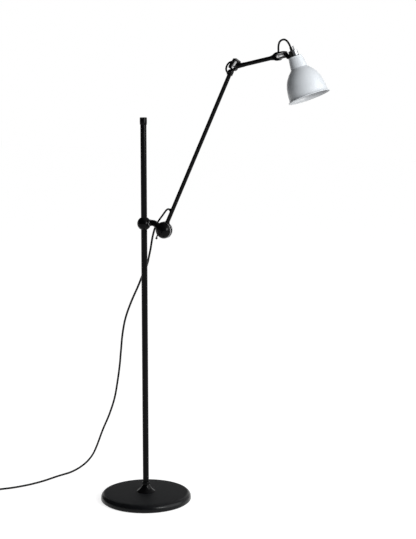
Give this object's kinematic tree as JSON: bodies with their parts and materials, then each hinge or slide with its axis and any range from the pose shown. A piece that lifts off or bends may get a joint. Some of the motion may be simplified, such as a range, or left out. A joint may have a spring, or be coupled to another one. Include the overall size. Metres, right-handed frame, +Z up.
{
  "type": "floor lamp",
  "caption": "Adjustable floor lamp: round weighted base, pole with sliding clamp, jointed arm and a bell-shaped shade on friction joints.",
  "frame": {"origin": "centre of the floor pad's underside, on the pole's axis", "axes": "+Z up the pole; +X is the way the arm reaches, so the arms fold in the XZ plane; +Y is away from the tilt lever"},
  "size_m": [1.3056, 0.3615, 1.5176],
  "materials": {
    "black_paint": "satin black powder coat",
    "white_paint": "gloss white enamel inside and out",
    "polished_metal": "polished",
    "steel": "bright zinc",
    "cast_weight": "cast iron, satin black paint",
    "black_rubber": "matt black",
    "cord_sheath": "matt black flexible sheath",
    "nylon": "black nylon",
    "holder_ceramic": null,
    "switch_grey": "light grey",
    "contact_brass": "nickelled",
    "bulb_glass": "opal",
    "pad_felt": "dense felt"
  },
  "bodies": {
    "stand": {"floor_pad": "pad_felt", "base_plate": "cast_weight", "base_bolt": "steel", "pole_insert": "steel", "pole_collar": "black_paint", "pole": "black_paint", "pole_cap": "black_paint", "floor_drop": "cord_sheath", "cord_coil": "cord_sheath", "plug_body": "black_rubber", "plug_pin_left": "contact_brass", "plug_pin_right": "contact_brass"},
    "liner": {"clamp_liner": "nylon", "clamp_drop": "cord_sheath"},
    "clamp": {"clamp_ball": "black_paint", "bracket_spacer": "polished_metal", "bracket_stud": "steel", "bracket": "black_paint", "joint_cap": "black_paint", "friction_disc_near": "steel", "friction_disc_far": "steel", "pivot_bolt": "black_paint", "cord_clip": "black_rubber", "lower_loop": "cord_sheath"},
    "clamp_knob": {"clamp_knob": "black_paint"},
    "tilt_lever": {"tilt_lever": "black_paint"},
    "lower_arm": {"lower_arm_eye": "black_paint", "lower_arm_tube": "black_paint", "lower_arm_grommet": "black_rubber", "lower_arm_fork": "black_paint", "elbow_pin": "black_paint", "elbow_nut": "black_paint", "elbow_loop_lower": "cord_sheath"},
    "elbow_spindle": {"elbow_shaft": "black_paint", "elbow_dome": "polished_metal", "elbow_barrel": "polished_metal", "elbow_screw": "steel", "elbow_loop_upper": "cord_sheath"},
    "upper_arm": {"elbow_housing": "black_paint", "elbow_washer": "nylon", "upper_arm_tube": "black_paint", "head_housing": "black_paint", "head_washer": "nylon", "head_loop_lower": "cord_sheath"},
    "head_spindle": {"head_crank": "black_paint", "head_dome": "polished_metal", "head_barrel": "polished_metal", "head_spacer": "steel", "head_loop_upper": "cord_sheath"},
    "head": {"head_carrier": "black_paint", "head_pin": "black_paint", "head_nut": "black_paint", "holder_cap": "polished_metal", "cap_screw": "steel", "lampholder": "holder_ceramic", "shade": "white_paint", "bulb_base": "steel", "bulb": "bulb_glass", "cord_gland": "black_rubber"},
    "lamp_switch": {"lamp_switch": "switch_grey"}
  },
  "joints": [
    {"name": "clamp_height", "type": "slide", "parent": "stand", "child": "liner", "axis": [0, 0, 1], "range_m": [-0.6, 0.28], "deforming": ["floor_drop"]},
    {"name": "clamp_swivel", "type": "hinge", "parent": "liner", "child": "clamp", "pos_m": [0, 0, 0.928], "axis": [0, 0, 1], "range_deg": [-150, 150], "deforming": ["clamp_drop"]},
    {"name": "clamp_knob_turn", "type": "hinge", "parent": "clamp", "child": "clamp_knob", "pos_m": [-0.00587, 0.01104, 0.928], "axis": [-0.4695, 0.8829, 0], "range_deg": [-180, 180]},
    {"name": "arm_tilt", "type": "hinge", "parent": "clamp", "child": "lower_arm", "pos_m": [0.0745, 0, 0.911], "axis": [0, 1, 0], "range_deg": [-25, 110], "deforming": ["lower_loop"]},
    {"name": "tilt_lever_turn", "type": "hinge", "parent": "clamp", "child": "tilt_lever", "pos_m": [0.0745, 0, 0.911], "axis": [0, 1, 0], "range_deg": [-60, 60]},
    {"name": "elbow_tilt", "type": "hinge", "parent": "lower_arm", "child": "elbow_spindle", "pos_m": [0.31382, 0, 1.41729], "axis": [0, 1, 0], "range_deg": [-60, 85], "deforming": ["elbow_loop_lower"]},
    {"name": "elbow_swivel", "type": "hinge", "parent": "elbow_spindle", "child": "upper_arm", "pos_m": [0.32273, 0, 1.43117], "axis": [0.5402, 0, 0.8415], "range_deg": [-150, 150], "deforming": ["elbow_loop_upper"]},
    {"name": "head_swivel", "type": "hinge", "parent": "upper_arm", "child": "head_spindle", "pos_m": [0.47418, 0, 1.46419], "axis": [0.977, 0, 0.213], "range_deg": [-150, 150], "deforming": ["head_loop_lower"]},
    {"name": "head_tilt", "type": "hinge", "parent": "head_spindle", "child": "head", "pos_m": [0.50864, 0, 1.46198], "axis": [0, 1, 0], "range_deg": [-20, 45], "deforming": ["head_loop_upper"]},
    {"name": "switch_press", "type": "slide", "parent": "head", "child": "lamp_switch", "axis": [-0.3714, 0, 0.9285], "range_m": [-0.0025, 0], "stiffness_N_per_m": 400}
  ]
}
